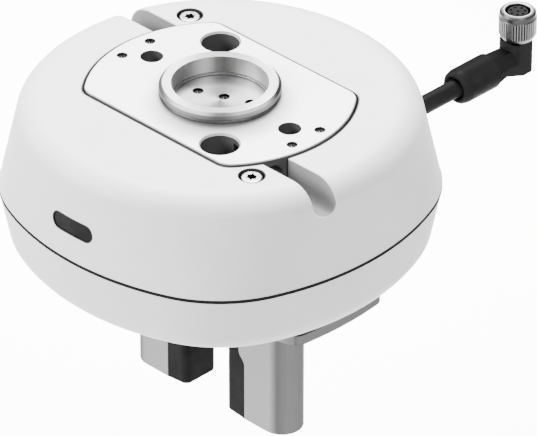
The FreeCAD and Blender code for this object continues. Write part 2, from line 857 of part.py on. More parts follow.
def rod_holder(side):
    """Block under the frame that carries one end of both guide rods."""
    ends = sorted((side * holder_inner, side * holder_outer))
    low = carriage_bottom + holder_gap
    body = block(ends[0], ends[1], -holder_half_width, holder_half_width, low, frame_bottom)
    middle = (ends[0] + ends[1]) / 2
    cuts = []
    for y in (-rod_y, rod_y):
        cuts.append(cylinder_x(rod_radius + running_fit, ends[0] - 1, ends[1] + 1, y, rod_z))
    for y in (-holder_screw_y, holder_screw_y):
        cuts.append(cylinder(cover_screw_radius + running_fit, low + 1, frame_bottom + 1, middle, y))
    return body.cut(cuts).removeSplitter()


def guide_rods():
    return [cylinder_x(rod_radius, -holder_outer, holder_outer, y, rod_z) for y in (-rod_y, rod_y)]


def carriage():
    """Right jaw's carriage: a block on both rods, a riser for its rack and a neck through the floor."""
    body = block(
        carriage_inner, carriage_outer, -carriage_half_width, carriage_half_width, carriage_bottom, carriage_top
    )
    riser_low = rack_pinion_radius + TOOTH_DEDENDUM * gear_module
    riser = block(carriage_inner, carriage_outer, riser_low, riser_low + rack_back, carriage_top, rack_bottom)
    half = neck_half_width
    neck = rounded_box(neck_inner, carriage_outer, -half, half, foot_top, carriage_bottom, slot_corner_radius)
    cuts = []
    for y in (-rod_y, rod_y):
        cuts.append(cylinder_x(bush_radius, carriage_inner - 1, carriage_outer + 1, y, rod_z))
    for x, y in finger_screw_places:
        tip = foot_bottom + finger_head_height + finger_screw_length
        cuts.append(cylinder(finger_screw_radius + running_fit, foot_top - 1, tip + 0.3, x, y))
    for x, y in rack_screw_places:
        low = rack_top - small_seat_drop - small_screw_length - 0.2
        cuts.append(cylinder(small_screw_radius + running_fit, low, rack_top, x, y))
    return body.fuse([riser, neck]).cut(cuts).removeSplitter()


def carriage_bushes():
    bushes = []
    for y in (-rod_y, rod_y):
        sleeve = cylinder_x(bush_radius, carriage_inner, carriage_outer, y, rod_z)
        bore = cylinder_x(rod_radius + running_fit, carriage_inner - 1, carriage_outer + 1, y, rod_z)
        bushes.append(sleeve.cut(bore))
    return bushes


finger_screw_x = carriage_outer - finger_screw_setback
finger_screw_y = finger_half_width + finger_head_radius + finger_screw_margin
finger_screw_places = [(finger_screw_x, -finger_screw_y), (finger_screw_x, finger_screw_y)]
rack_screw_y = rack_pinion_radius + TOOTH_DEDENDUM * gear_module + rack_back / 2
rack_screw_inset = (carriage_outer - carriage_inner) / 5
rack_screw_places = [
    (carriage_inner + rack_screw_inset, rack_screw_y),
    (carriage_outer - rack_screw_inset, rack_screw_y),
]


def rack():
    outline = rack_outline(-rack_overhang, carriage_outer, carriage_inner, rack_bottom)
    body = prism(outline, Vec(0, 0, rack_height))
    holes = [small_screw_hole(x, y, rack_top) for x, y in rack_screw_places]
    return body.cut(holes).removeSplitter()


def finger_plan(z_low, z_high):
    """Plan of finger and pad together, with a half-round outer end."""
    half = finger_half_width
    wire = rounded_outline(
        [
            (pad_face, -half, pad_corner_radius),
            (finger_outer, -half, half),
            (finger_outer, half, half),
            (pad_face, half, pad_corner_radius),
        ],
        z_low,
    )
    return prism(wire, Vec(0, 0, z_high - z_low))


def step_edges(y):
    """S shaped step between finger and pad, from its low end to its high end."""
    low = finger_tip + pad_step_rise
    radius = (pad_step_height**2 + pad_step**2) / (4 * pad_step)
    sweep = 2 * math.atan2(pad_step, pad_step_height)
    middle = Vec(pad_back - pad_step / 2, y, low + pad_step_height / 2)
    lower = [Vec(pad_back - radius * (1 - math.cos(a)), y, low + radius * math.sin(a)) for a in (0, sweep / 2)]
    upper = [middle * 2 - point for point in reversed(lower)]
    return [Part.Arc(*lower, middle).toShape(), Part.Arc(middle, *upper).toShape()]


def line(start, stop):
    return Part.LineSegment(start, stop).toShape()


def finger():
    """Foot plate and finger column in one milled piece."""
    y = -finger_half_width - 1
    step = step_edges(y)
    step_low = step[0].Vertexes[0].Point
    step_high = step[1].Vertexes[-1].Point
    high = step_high.x
    edges = step + [
        line(Vec(pad_back, y, finger_tip), step_low),
        line(step_high, Vec(high, y, foot_bottom)),
        line(Vec(high, y, foot_bottom), Vec(finger_outer, y, foot_bottom)),
        line(Vec(finger_outer, y, foot_bottom), Vec(finger_outer, y, finger_tip)),
        line(Vec(finger_outer, y, finger_tip), Vec(pad_back, y, finger_tip)),
    ]
    side = prism(Part.Wire(Part.__sortEdges__(edges)), Vec(0, finger_width + 2, 0))
    column = side.common(finger_plan(finger_tip - 1, foot_bottom))
    cuts = []
    for x, y in finger_screw_places:
        cuts.append(cylinder(finger_screw_radius + running_fit, foot_bottom - 1, foot_top + 1, x, y))
        head = finger_head_radius + running_fit * 4
        cuts.append(cylinder(head, foot_bottom - 1, foot_bottom + finger_head_height, x, y))
    return foot_plate(high).fuse(column).cut(cuts).removeSplitter()


def foot_plate(inner_x):
    """Plate under the housing: an arc at its outer end, its front side swept round to meet it."""
    near = foot_half_width
    far = foot_far_width
    z = foot_bottom
    corner_x = foot_reach - near**2 / (2 * foot_end_radius)
    corner_y = math.sqrt(near**2 - (corner_x - foot_turn_x) ** 2)
    end_x = foot_reach - corner_y**2 / (2 * foot_end_radius)
    sweep = math.atan2(corner_y, end_x - foot_turn_x)
    middle = (sweep + math.pi / 2) / 2
    turn = Vec(foot_turn_x, -near, z)
    bend = Vec(foot_turn_x + near * math.cos(middle), -near * math.sin(middle), z)
    near_corner = Vec(end_x, -corner_y, z)
    far_corner = Vec(foot_reach - far**2 / (2 * foot_end_radius), far, z)
    edges = [
        line(Vec(inner_x, -near, z), turn),
        Part.Arc(turn, bend, near_corner).toShape(),
        Part.Arc(near_corner, Vec(foot_reach, 0, z), far_corner).toShape(),
        line(far_corner, Vec(inner_x, far, z)),
        line(Vec(inner_x, far, z), Vec(inner_x, -near, z)),
    ]
    plate = prism(Part.Wire(edges), Vec(0, 0, foot_thickness))
    for corner, radius in ((near_corner, foot_corner_radius), (far_corner, foot_far_corner_radius)):
        upright = [e for e in plate.Edges if e.BoundBox.ZLength > foot_thickness / 2]
        nearest = min(upright, key=lambda e: (e.CenterOfMass - corner).Length)
        plate = plate.makeFillet(radius, [nearest])
    return plate


def pad():
    """Rubber pad, seated on the finger's step."""
    y = -finger_half_width - 1
    step = step_edges(y)
    step_low = step[0].Vertexes[0].Point
    step_high = step[1].Vertexes[-1].Point
    top = finger_tip + pad_height
    edges = step + [
        line(Vec(pad_back, y, finger_tip), step_low),
        line(step_high, Vec(step_high.x, y, top)),
        line(Vec(step_high.x, y, top), Vec(pad_face, y, top)),
        line(Vec(pad_face, y, top), Vec(pad_face, y, finger_tip)),
        line(Vec(pad_face, y, finger_tip), Vec(pad_back, y, finger_tip)),
    ]
    side = prism(Part.Wire(Part.__sortEdges__(edges)), Vec(0, finger_width + 2, 0))
    return side.common(finger_plan(finger_tip - 1, top + 1))


def pinion_shaft():
    return cylinder(shaft_radius, rack_bottom, gear_top)


def rack_pinion():
    body = prism(gear_outline(rack_pinion_teeth, rack_bottom, math.pi / 2), Vec(0, 0, rack_height))
    return body.cut(cylinder(shaft_radius, rack_bottom - 1, rack_top + 1))


def drive_gear():
    body = prism(gear_outline(drive_gear_teeth, gear_bottom, math.pi / 2), Vec(0, 0, gear_face))
    cuts = [cylinder(shaft_radius, gear_bottom - 1, gear_top + 1)]
    web = (shaft_radius + gear_module * drive_gear_teeth / 2) / 2
    for step in range(6):
        angle = math.radians(60 * step)
        x = web * math.cos(angle)
        y = web * math.sin(angle)
        cuts.append(cylinder(web / 3, gear_bottom - 1, gear_top + 1, x, y))
    return body.cut(cuts)


def motor_shaft():
    return cylinder(motor_shaft_radius, frame_top + 1 + running_fit, gear_top, 0, motor_y)


def motor_pinion():
    gap_down = -math.pi / 2 + math.pi / motor_pinion_teeth
    body = prism(gear_outline(motor_pinion_teeth, gear_bottom, gap_down), Vec(0, 0, gear_face))
    body = body.cut(cylinder(motor_shaft_radius, gear_bottom - 1, gear_top + 1))
    body.translate(Vec(0, motor_y, 0))
    return body


def clamp_screws():
    """Set screws in the flange plate's sides, each just short of its stud bore."""
    screws = []
    for x, y in stud_places:
        side = 1 if x > 0 else -1
        clamp_y = -side * channel_offset
        clear = math.sqrt(max(stud_bore_radius**2 - (abs(y) - channel_offset - clamp_screw_radius) ** 2, 0.0))
        near = abs(x) + max(clear, stud_bore_radius * 0.9) + sliding_gap
        ends = sorted((side * near, side * (near + clamp_screw_length)))
        screw = cylinder_x(clamp_screw_radius, *ends, clamp_y, -clamp_depth)
        depth = clamp_screw_length * 0.5
        key = prism(hexagon(clamp_key_across, 0.0), Vec(0, 0, depth + 1))
        key.rotate(ORIGIN, Y_AXIS, 90 * side)
        key.translate(Vec(side * (near + clamp_screw_length - depth), clamp_y, -clamp_depth))
        screws.append(screw.cut(key))
    return screws


def cover_screw():
    """Pan head screw with a six-point star recess."""
    screw = cap_screw(cover_screw_radius, cover_screw_length, cover_head_radius, cover_head_height, star_radius)
    upper = [e for e in screw.Edges if e.BoundBox.ZMin > cover_head_height - 0.01]
    rim = [e for e in upper if e.Length > 3 * cover_head_radius]
    screw = screw.makeFillet(cover_head_height * 0.25, rim)
    points = []
    for step in range(12):
        radius = star_radius if step % 2 == 0 else star_radius * 0.7
        angle = math.radians(30 * step)
        points.append(Vec(radius * math.cos(angle), radius * math.sin(angle), cover_head_height * 0.4))
    return screw.cut(prism(polygon(points), Vec(0, 0, cover_head_height))).removeSplitter()


cable_wall = base_reach(cable_drop, 0.0, base_flat_draft, 0.0)
wall_slope = math.tan(math.radians(base_flat_draft)) * (cable_radius + grommet_flange)
grommet_outer = cable_wall + wall_slope
grommet_inner = base_reach(cable_drop + cable_radius + grommet_flange, wall, base_flat_draft, 0.0)
grommet_end = grommet_outer + grommet_flange_width + grommet_nose
cable_start = grommet_inner - grommet_flange_width
boot_floor = plug_boot_back + plug_boot_recess


def cable_grommet():
    """Rubber grommet through the wall, a flange each side and a tapered nose."""
    stem = cable_radius + grommet_stem
    flange = cable_radius + grommet_flange
    outline = [
        (cable_radius, cable_start),
        (flange, cable_start),
        (flange, grommet_inner),
        (stem, grommet_inner),
        (stem, grommet_outer),
        (flange, grommet_outer),
        (flange, grommet_outer + grommet_flange_width),
        (stem, grommet_end),
        (cable_radius, grommet_end),
    ]
    return turned_y(outline, cable_z)


def cable():
    return cylinder_y(cable_radius, cable_start, boot_floor, 0, cable_z)


elbow_top = cable_z + plug_elbow_rise
nut_bottom = elbow_top + nut_gap
nut_top = nut_bottom + nut_height


def connector_body():
    """Moulded boot along the cable, a shank and the upright block that carries the nut."""
    back = plug_boot_back
    front = plug_boot_front
    radius = plug_boot_radius
    boot = turned_y(
        [
            (0, boot_floor),
            (cable_radius, boot_floor),
            (cable_radius + plug_boot_recess * 0.6, back),
            (radius * 0.8, back),
            (radius * 0.93, back + radius * 0.15),
            (radius, back + radius * 0.45),
            (radius, front - radius * 0.15),
            (radius * 0.8, front),
            (0, front),
        ],
        cable_z,
    )
    stem = cylinder(plug_stem_radius, elbow_top, nut_bottom + nut_lip_height + nut_gap, 0, plug_axis_y)
    return boot.fuse([plug_block(), stem]).removeSplitter()


def plug_block():
    """Faceted shank and upright elbow, kept within one side outline that is waisted behind the boot."""
    half = plug_elbow_width / 2
    low = cable_z - plug_elbow_drop
    start = plug_boot_front - 1
    back = plug_axis_y - plug_elbow_back
    front = plug_axis_y + plug_elbow_front
    side = [
        (start, cable_z + plug_shank_rise),
        (back, cable_z + plug_shank_waist),
        (back, elbow_top),
        (front, elbow_top),
        (front, low + half * 0.3),
        (front - half * 0.3, low),
        (plug_axis_y - half * 0.3, low),
        (plug_boot_front + plug_neck_length, cable_z - plug_neck_drop),
        (start, cable_z - plug_neck_drop * 1.5),
    ]
    outline = prism(polygon([Vec(-half, y, z) for y, z in side]), Vec(plug_elbow_width, 0, 0))
    ridge = half * plug_shank_facet
    top = cable_z + plug_shank_rise
    section = [(-half, low), (half, low), (half, cable_z), (ridge, top), (-ridge, top), (-half, cable_z)]
    shank = prism(polygon([Vec(x, start, z) for x, z in section]), Vec(0, plug_axis_y - start, 0))
    elbow = rounded_box(-half, half, back, front, low, elbow_top, half * 0.5)
    return shank.fuse(elbow).common(outline)


def contact_insert():
    """Socket insert with a centre contact inside a ring of seven."""
    low = nut_bottom + nut_lip_height + nut_gap
    high = nut_top - insert_depth
    body = cylinder(insert_radius, low, high, 0, plug_axis_y)
    places = [(0.0, 0.0)]
    for step in range(7):
        angle = 2 * math.pi * step / 7
        places.append((contact_circle * math.cos(angle), contact_circle * math.sin(angle)))
    holes = [cylinder(contact_radius, high - 2, high + 1, x, plug_axis_y + y) for x, y in places]
    return body.cut(holes)


def coupling_nut():
    """Threaded ring with a plain collar, grouped ribs and a lip that runs on the plug's stem."""
    outer = nut_radius
    collar = outer - nut_collar_step
    lip = plug_stem_radius + running_fit
    foot = outer - nut_foot_step
    outline = [
        (lip, nut_bottom),
        (foot, nut_bottom),
        (outer, nut_bottom + nut_foot_height),
        (outer, nut_top - nut_collar_height),
        (collar, nut_top - nut_collar_height + nut_collar_step),
        (collar, nut_top - nut_rim_chamfer),
        (collar - nut_rim_chamfer, nut_top),
        (nut_bore_radius + nut_collar_step, nut_top),
        (nut_bore_radius, nut_top - nut_collar_step),
        (nut_bore_radius, nut_bottom + nut_lip_height),
        (lip, nut_bottom + nut_lip_height),
    ]
    body = turned(outline)
    low = nut_bottom + nut_foot_height / 2
    rise = Vec(0, 0, nut_top - nut_collar_height - low)
    section = [(outer - knurl_depth, 0.0), (outer + knurl_depth, 0.6), (outer + knurl_depth, -0.6)]
    grooves = []
    for group in range(knurl_groups):
        first = knurl_turn + 360 / knurl_groups * group - knurl_pitch * (knurl_grooves - 1) / 2
        for place in range(knurl_grooves):
            middle = first + knurl_pitch * place
            corners = [polar(radius, middle + share * knurl_pitch, low) for radius, share in section]
            grooves.append(prism(polygon(corners), rise))
    nut = body.cut(grooves)
    nut.translate(Vec(0, plug_axis_y, 0))
    return nut


def build():
    save("flange_plate", flange_plate())
    save("centring_ring", centring_ring())
    save("upper_housing", upper_housing())
    save("lower_housing", lower_housing())
    save("housing_seal", housing_seal())
    save("status_window", status_window())
    save("light_board", light_board())
    save("control_board", control_board())
    save("frame", frame())
    save("motor", motor())
    save("shaft_bearings", *shaft_bearings())
    save("guide_rods", *guide_rods())
    save("rod_holder_right", rod_holder(1))
    save("rod_holder_left", rod_holder(-1))
    save("cable_grommet", cable_grommet())
    save("cable", cable())
    save("connector_body", connector_body())
    save("contact_insert", contact_insert())
    save("coupling_nut", coupling_nut())
    save("clamp_screws", *clamp_screws())

    screw = small_screw()
    flange_seat = -small_seat_drop
    save("flange_screws", *[placed(screw, x, y, flange_seat) for x, y in flange_screw_places])
    ring_seat = ring_floor - small_seat_drop
    save("ring_screws", *[placed(screw, x, y, ring_seat) for x, y in recess_screw_places])
    save("board_screws", *[placed(screw, x, y, board_top) for x, y in board_post_places])
    motor_seat = frame_bottom + small_seat_drop
    save("motor_screws", *[placed(screw, x, y, motor_seat, True) for x, y in motor_screw_places])
    star = cover_screw()
    save("cover_screws", *[placed(star, x, y, cover_seat_z) for x, y in cover_places])
    base_seat = base_bottom + cover_head_recess + cover_head_height
    base_length = frame_top - base_seat - 1
    head = (cover_head_radius, cover_head_height, cover_head_radius)
    base_screw = cap_screw(cover_screw_radius, base_length, *head)
    save("base_screws", *[placed(base_screw, x, y, base_seat, True) for x, y in base_screw_places])
    holder_length = frame_thickness + (frame_bottom - carriage_bottom - holder_gap) / 2
    holder_screw = cap_screw(cover_screw_radius, holder_length, *head)
    save("holder_screws", *[placed(holder_screw, x, y, frame_top) for x, y in holder_screw_places])
    pedestal_length = flange_bottom + pedestal_screw_engagement - pedestal_seat - 0.5
    heavy = (pedestal_screw_radius * 1.9, frame_thickness * 0.8, pedestal_screw_radius * 1.6)
    pedestal_screw = cap_screw(pedestal_screw_radius, pedestal_length, *heavy)
    save("pedestal_screws", *[placed(pedestal_screw, x, y, pedestal_seat, True) for x, y in pedestal_places])

    save("pinion_shaft", pinion_shaft())
    save("rack_pinion", rack_pinion())
    save("drive_gear", drive_gear())
    save("motor_shaft", motor_shaft())
    save("motor_pinion", motor_pinion())

    foot_seat = foot_bottom + finger_head_height
    finger_head = (finger_head_radius, finger_head_height * 0.9, finger_head_radius)
    finger_screw = cap_screw(finger_screw_radius, finger_screw_length, *finger_head)
    jaw = {
        "carriage": [carriage()],
        "bushes": carriage_bushes(),
        "rack": [rack()],
        "finger": [finger()],
        "pad": [pad()],
        "finger_screws": [placed(finger_screw, x, y, foot_seat, True) for x, y in finger_screw_places],
        "rack_screws": [placed(screw, x, y, rack_top - small_seat_drop) for x, y in rack_screw_places],
    }
    for name, solids in jaw.items():
        save(name + "_right", *solids)
        save(name + "_left", *[half_turn(solid) for solid in solids])


build()
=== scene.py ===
"""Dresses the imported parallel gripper: camera, cable, reshaped seal and pads, materials and studio.

Lengths are in metres and angles in radians, in the frame that the CAD uses.
"""
import json
import math

import bmesh
import bpy
from mathutils import Matrix, Vector


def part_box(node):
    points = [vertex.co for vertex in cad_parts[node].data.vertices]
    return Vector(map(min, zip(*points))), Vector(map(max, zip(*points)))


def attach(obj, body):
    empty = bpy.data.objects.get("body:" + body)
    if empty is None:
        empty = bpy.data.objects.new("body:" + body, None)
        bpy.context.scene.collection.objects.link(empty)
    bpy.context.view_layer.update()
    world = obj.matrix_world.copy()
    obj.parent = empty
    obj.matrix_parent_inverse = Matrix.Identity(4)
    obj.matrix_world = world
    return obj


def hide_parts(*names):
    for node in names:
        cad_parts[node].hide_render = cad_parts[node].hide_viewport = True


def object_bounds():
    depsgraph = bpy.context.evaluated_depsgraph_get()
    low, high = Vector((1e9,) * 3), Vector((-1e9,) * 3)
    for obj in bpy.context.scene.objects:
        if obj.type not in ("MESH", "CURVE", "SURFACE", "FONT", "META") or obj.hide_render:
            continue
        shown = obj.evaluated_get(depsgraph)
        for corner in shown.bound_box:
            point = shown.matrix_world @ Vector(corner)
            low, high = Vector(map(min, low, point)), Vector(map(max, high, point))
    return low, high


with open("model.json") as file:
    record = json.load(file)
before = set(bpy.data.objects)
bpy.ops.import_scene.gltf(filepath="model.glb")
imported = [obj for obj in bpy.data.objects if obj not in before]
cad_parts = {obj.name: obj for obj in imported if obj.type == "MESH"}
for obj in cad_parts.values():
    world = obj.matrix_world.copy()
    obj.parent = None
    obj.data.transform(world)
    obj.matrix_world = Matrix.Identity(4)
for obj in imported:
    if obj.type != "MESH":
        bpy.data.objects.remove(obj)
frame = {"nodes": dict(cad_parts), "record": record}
cad_box = [list(corner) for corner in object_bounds()]
nodes = frame["nodes"]
collection = bpy.context.scene.collection


def link(name, data):
    """A new object in the scene."""
    piece = bpy.data.objects.new(name, data)
    collection.objects.link(piece)
    return piece


# Camera at the photograph's angle: a long lens, not rolled, aimed at the middle of the part
AZIMUTH = 0.783256
ELEVATION = 0.568302
EYE = Vector((1.08528, -1.07244, 0.93615))
PHOTO_WIDTH = 537
FOCAL_PIXELS = 7006.36

across = Vector((math.cos(AZIMUTH), math.sin(AZIMUTH), 0))
flat_back = math.cos(ELEVATION)
back = Vector((math.sin(AZIMUTH) * flat_back, -math.cos(AZIMUTH) * flat_back, math.sin(ELEVATION)))
up = back.cross(across)
lens = bpy.data.cameras.new("camera")
lens.sensor_fit = "HORIZONTAL"
lens.sensor_width = 36.0
lens.lens = FOCAL_PIXELS * lens.sensor_width / PHOTO_WIDTH
camera = link("camera", lens)
turn = Matrix((across, up, back)).transposed().to_4x4()
camera.matrix_world = Matrix.Translation(EYE) @ turn
bpy.context.scene.camera = camera

# Cable: straight from inside the grommet's nose through the boot's mouth to its end in the plug
GROMMET_LAP = 0.001

cable_low, cable_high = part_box("cable")
cable_radius = (cable_high.x - cable_low.x) / 2
cable_z = (cable_low.z + cable_high.z) / 2
cable_exit = Vector((0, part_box("cable_grommet")[1].y - GROMMET_LAP, cable_z))
boot_mouth = Vector((0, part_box("connector_body")[0].y, cable_z))
cable_end = Vector((0, cable_high.y, cable_z))
route = bpy.data.curves.new("cable_jacket", "CURVE")
route.dimensions = "3D"
route.bevel_depth = 1.0  # the points hold the real radius
route.bevel_resolution = 12
route.use_fill_caps = True
spline = route.splines.new("NURBS")
spline.points.add(2)
for point, place in zip(spline.points, (cable_exit, boot_mouth, cable_end)):
    point.co = (*place, 1)
    point.radius = cable_radius
spline.order_u = 3
spline.use_endpoint_u = True
spline.resolution_u = 12
cable = link("cable_jacket", route)
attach(cable, "housing")
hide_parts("cable")


MERGE_DISTANCE = 1e-6


def stand_in(name, node, body, reshape):
    """A copy of a CAD node's mesh, reshaped, that rides on its body and stands for the node."""
    shape = bmesh.new()
    shape.from_mesh(nodes[node].data)
    bmesh.ops.remove_doubles(shape, verts=shape.verts, dist=MERGE_DISTANCE)
    reshape(shape, *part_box(node))
    mesh = bpy.data.meshes.new(name)
    shape.to_mesh(mesh)
    shape.free()
    piece = link(name, mesh)
    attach(piece, body)
    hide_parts(node)
    return piece


# Parting seal: how far it stands past the shells' sides and laps over each rim
SEAL_PROUD = 0.00005
SEAL_LAP = 0.0001


def swell_seal(shape, low, high):
    """Grows the seal outwards and over the rims of both shells."""
    growth = (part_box("upper_housing")[1].x + SEAL_PROUD) / high.x
    middle = (low.z + high.z) / 2
    for vertex in shape.verts:
        vertex.co.x *= growth
        vertex.co.y *= growth
        vertex.co.z += math.copysign(SEAL_LAP, vertex.co.z - middle)


# Rubber pads: their upright corners, the rounding of their ends and the depth where it has faded out
PAD_CORNER = 0.002
PAD_ROUNDING = 0.0008
PAD_ROUNDING_STEPS = 7
PAD_FLUSH = 0.0048
FLAT_ANGLE = 0.02


def round_pad(shape, low, high):
    """Rounds a pad's tip and top, fully at the gripping face and less towards the finger's metal."""
    bmesh.ops.dissolve_limit(shape, angle_limit=FLAT_ANGLE, verts=shape.verts, edges=shape.edges)
    for step in range(1, PAD_ROUNDING_STEPS + 1):
        rise = PAD_ROUNDING * (1 - math.cos(math.pi / 2 * step / PAD_ROUNDING_STEPS))
        for height in (low.z + rise, high.z - rise):
            everything = shape.verts[:] + shape.edges[:] + shape.faces[:]
            bmesh.ops.bisect_plane(shape, geom=everything, plane_co=(0, 0, height), plane_no=(0, 0, 1))
    face = min(abs(low.x), abs(high.x))
    flat = high.y - PAD_CORNER
    for vertex in shape.verts:
        drop = PAD_ROUNDING - min(vertex.co.z - low.z, high.z - vertex.co.z)
        depth = abs(vertex.co.x) - face
        if drop > 0 and depth < PAD_FLUSH:
            inset = PAD_ROUNDING - math.sqrt(max(0.0, PAD_ROUNDING**2 - drop**2))
            inset *= min(1.0, (PAD_FLUSH - depth) / (PAD_FLUSH - PAD_CORNER))
            side = math.copysign(max(abs(vertex.co.y) - flat, 0.0), vertex.co.y)
            outward = Vector((min(depth - PAD_CORNER, 0.0), side)).normalized()
            vertex.co.x -= math.copysign(inset, vertex.co.x) * outward.x
            vertex.co.y -= inset * outward.y


skins = {
    "seal_black": [stand_in("parting_seal", "housing_seal", "housing", swell_seal)],
    "pad_rubber": [
        stand_in("grip_pad_" + side, "pad_" + side, "jaw_" + side, round_pad)
        for side in ("left", "right")
    ],
}


def axes(node, spread):
    """Centres of the screws in a node, which lie further apart than a spread."""
    clusters = []
    for vertex in nodes[node].data.vertices:
        for cluster in clusters:
            if (vertex.co - cluster[0]).xy.length < spread:
                cluster.append(vertex.co)
                break
        else:
            clusters.append([vertex.co])
    return [sum(cluster, Vector()) / len(cluster) for cluster in clusters]


SMALL_SPREAD = 0.003
COVER_SPREAD = 0.006

# Most of a noise's values lie between these two
NOISE_LOW = 0.3
NOISE_HIGH = 0.7


class Shade:
    """Builds one node material around a Principled shader, with edges that look rounded by a radius."""

    def __init__(self, name, metallic=0.0, rounding=0.0, **sockets):
        self.material = bpy.data.materials.new(name)
        self.material.use_nodes = True
        self.tree = self.material.node_tree
        self.shader = self.tree.nodes["Principled BSDF"]
        self.shader.inputs["Metallic"].default_value = metallic
        for socket, value in sockets.items():
            self.shader.inputs[socket.replace("_", " ")].default_value = value
        self.coordinates = self.add("ShaderNodeTexCoord").outputs
        self.place = self.coordinates["Object"]
        self.normal = None
        if rounding:
            edge = self.add("ShaderNodeBevel", samples=4)
            edge.inputs["Radius"].default_value = rounding
            self.normal = edge.outputs["Normal"]

    def add(self, kind, **settings):
        node = self.tree.nodes.new(kind)
        for key, value in settings.items():
            setattr(node, key, value)
        return node

    def join(self, start, stop):
        self.tree.links.new(start, stop)

    def noise(self, scale, stretch=(1, 1, 1), detail=3.0):
        """Noise over the piece, drawn out along an axis where stretch is small."""
        mapping = self.add("ShaderNodeMapping")
        mapping.inputs["Scale"].default_value = stretch
        self.join(self.place, mapping.inputs["Vector"])
        noise = self.add("ShaderNodeTexNoise")
        noise.inputs["Scale"].default_value = scale
        noise.inputs["Detail"].default_value = detail
        noise.inputs["Roughness"].default_value = 0.55
        self.join(mapping.outputs["Vector"], noise.inputs["Vector"])
        return noise.outputs["Fac"]

    def math(self, operation, *values):
        """One step of arithmetic on sockets and numbers."""
        node = self.add("ShaderNodeMath", operation=operation)
        for socket, value in zip(node.inputs, values):
            if isinstance(value, (int, float)):
                socket.default_value = value
            else:
                self.join(value, socket)
        return node.outputs["Value"]

    def along(self, axis):
        """Coordinate along an axis of the CAD's frame, at rest."""
        split = self.add("ShaderNodeSeparateXYZ")
        self.join(self.place, split.inputs["Vector"])
        return split.outputs[axis]

    def distance(self, first, second):
        """Length of an offset with two parts at right angles."""
        squares = [self.math("MULTIPLY", part, part) for part in (first, second)]
        return self.math("SQRT", self.math("ADD", *squares))

    def reach(self, axis=Vector()):
        """Distance from an upright axis."""
        offset = [self.math("SUBTRACT", self.along(name), centre) for name, centre in zip("XY", axis)]
        return self.distance(*offset)

    def near(self, centres, limit):
        """1 within a distance of any of some upright axes and 0 elsewhere."""
        closest = self.reach(centres[0])
        for centre in centres[1:]:
            closest = self.math("MINIMUM", closest, self.reach(centre))
        return self.less(closest, limit)

    def turned(self, scale):
        """Fine lines round the Z axis, as a lathe leaves them on faces and sides."""
        noise = self.add("ShaderNodeTexNoise", noise_dimensions="1D")
        noise.inputs["Scale"].default_value = scale
        noise.inputs["Detail"].default_value = 2.0
        self.join(self.math("ADD", self.reach(), self.along("Z")), noise.inputs["W"])
        return noise.outputs["Fac"]

    def spun(self):
        """Draws highlights out across lathe lines round the Z axis."""
        tangent = self.add("ShaderNodeTangent", direction_type="RADIAL", axis="Z")
        self.join(tangent.outputs["Tangent"], self.shader.inputs["Tangent"])
        return self

    def colour(self, factor, low, high):
        """Runs the base colour from low to high with a noise."""
        ramp = self.add("ShaderNodeValToRGB")
        ramp.color_ramp.elements[0].position = NOISE_LOW
        ramp.color_ramp.elements[1].position = NOISE_HIGH
        ramp.color_ramp.elements[0].color = (*low, 1)
        ramp.color_ramp.elements[1].color = (*high, 1)
        self.join(factor, ramp.inputs["Fac"])
        self.join(ramp.outputs["Color"], self.shader.inputs["Base Color"])
        return self

    def ramp(self, value, start, stop):
        """0 up to one end of a range and 1 from the other."""
        span = self.add("ShaderNodeMapRange")
        span.inputs["From Min"].default_value = start
        span.inputs["From Max"].default_value = stop
        self.join(value, span.inputs["Value"])
        return span.outputs["Result"]

    def facing(self, axis, start, stop):
        """0 to 1 by how squarely a face looks along an axis, either way."""
        split = self.add("ShaderNodeSeparateXYZ")
        self.join(self.coordinates["Normal"], split.inputs["Vector"])
        return self.ramp(self.math("ABSOLUTE", split.outputs[axis]), start, stop)

    def upright(self):
        """1 on walls that stand along Z and 0 on faces that lie flat."""
        return self.facing("Z", 0.6, 0.2)

    def crevice(self, distance, start=0.85, stop=0.2):
        """1 deep in a gap or corner and 0 on open faces, from ambient occlusion, for painting shade
        there.
        """
        shelter = self.add("ShaderNodeAmbientOcclusion", samples=8)
        shelter.inputs["Distance"].default_value = distance
        return self.ramp(shelter.outputs["AO"], start, stop)

    def less(self, value, limit):
        """1 where a value is under its limit and 0 elsewhere."""
        return self.math("LESS_THAN", value, limit)

    def more(self, value, limit):
        """1 where a value is over its limit and 0 elsewhere."""
        return self.math("GREATER_THAN", value, limit)

    def below(self, height):
        """1 under a height and 0 above it."""
        return self.less(self.along("Z"), height)

    def above(self, height):
        """1 over a height and 0 under it."""
        return self.more(self.along("Z"), height)

    def both(self, first, second):
        """1 where two masks are both 1."""
        return self.math("MULTIPLY", first, second)

    def blend(self, mask, tone):
        """Draws the colour towards tone where mask is 1."""
        socket = self.shader.inputs["Base Color"]
        mix = self.add("ShaderNodeMix", data_type="RGBA")
        self.join(mask, mix.inputs["Factor"])
        self.join(socket.links[0].from_socket, mix.inputs["A"])
        mix.inputs["B"].default_value = (*tone, 1)
        self.join(mix.outputs["Result"], socket)
        return self

    def roughness(self, factor, low, high):
        """Runs the roughness from low to high with a noise."""
        span = self.add("ShaderNodeMapRange")
        span.inputs["From Min"].default_value = NOISE_LOW
        span.inputs["From Max"].default_value = NOISE_HIGH
        span.inputs["To Min"].default_value = low
        span.inputs["To Max"].default_value = high
        self.join(factor, span.inputs["Value"])
        self.join(span.outputs["Result"], self.shader.inputs["Roughness"])
        return self

    def bump(self, factor, depth, strength):
        """Raises the surface by a noise, over the rounded edges where there are any."""
        bump = self.add("ShaderNodeBump")
        bump.inputs["Strength"].default_value = strength
        bump.inputs["Distance"].default_value = depth
        self.join(factor, bump.inputs["Height"])
        if self.normal is not None:
            self.join(self.normal, bump.inputs["Normal"])
        self.normal = bump.outputs["Normal"]
        self.join(self.normal, self.shader.inputs["Normal"])
        return self


def grey(value, tint=0.0):
    """A grey, made slightly bluer by a tint."""
    return (value, value, value * (1 + tint))
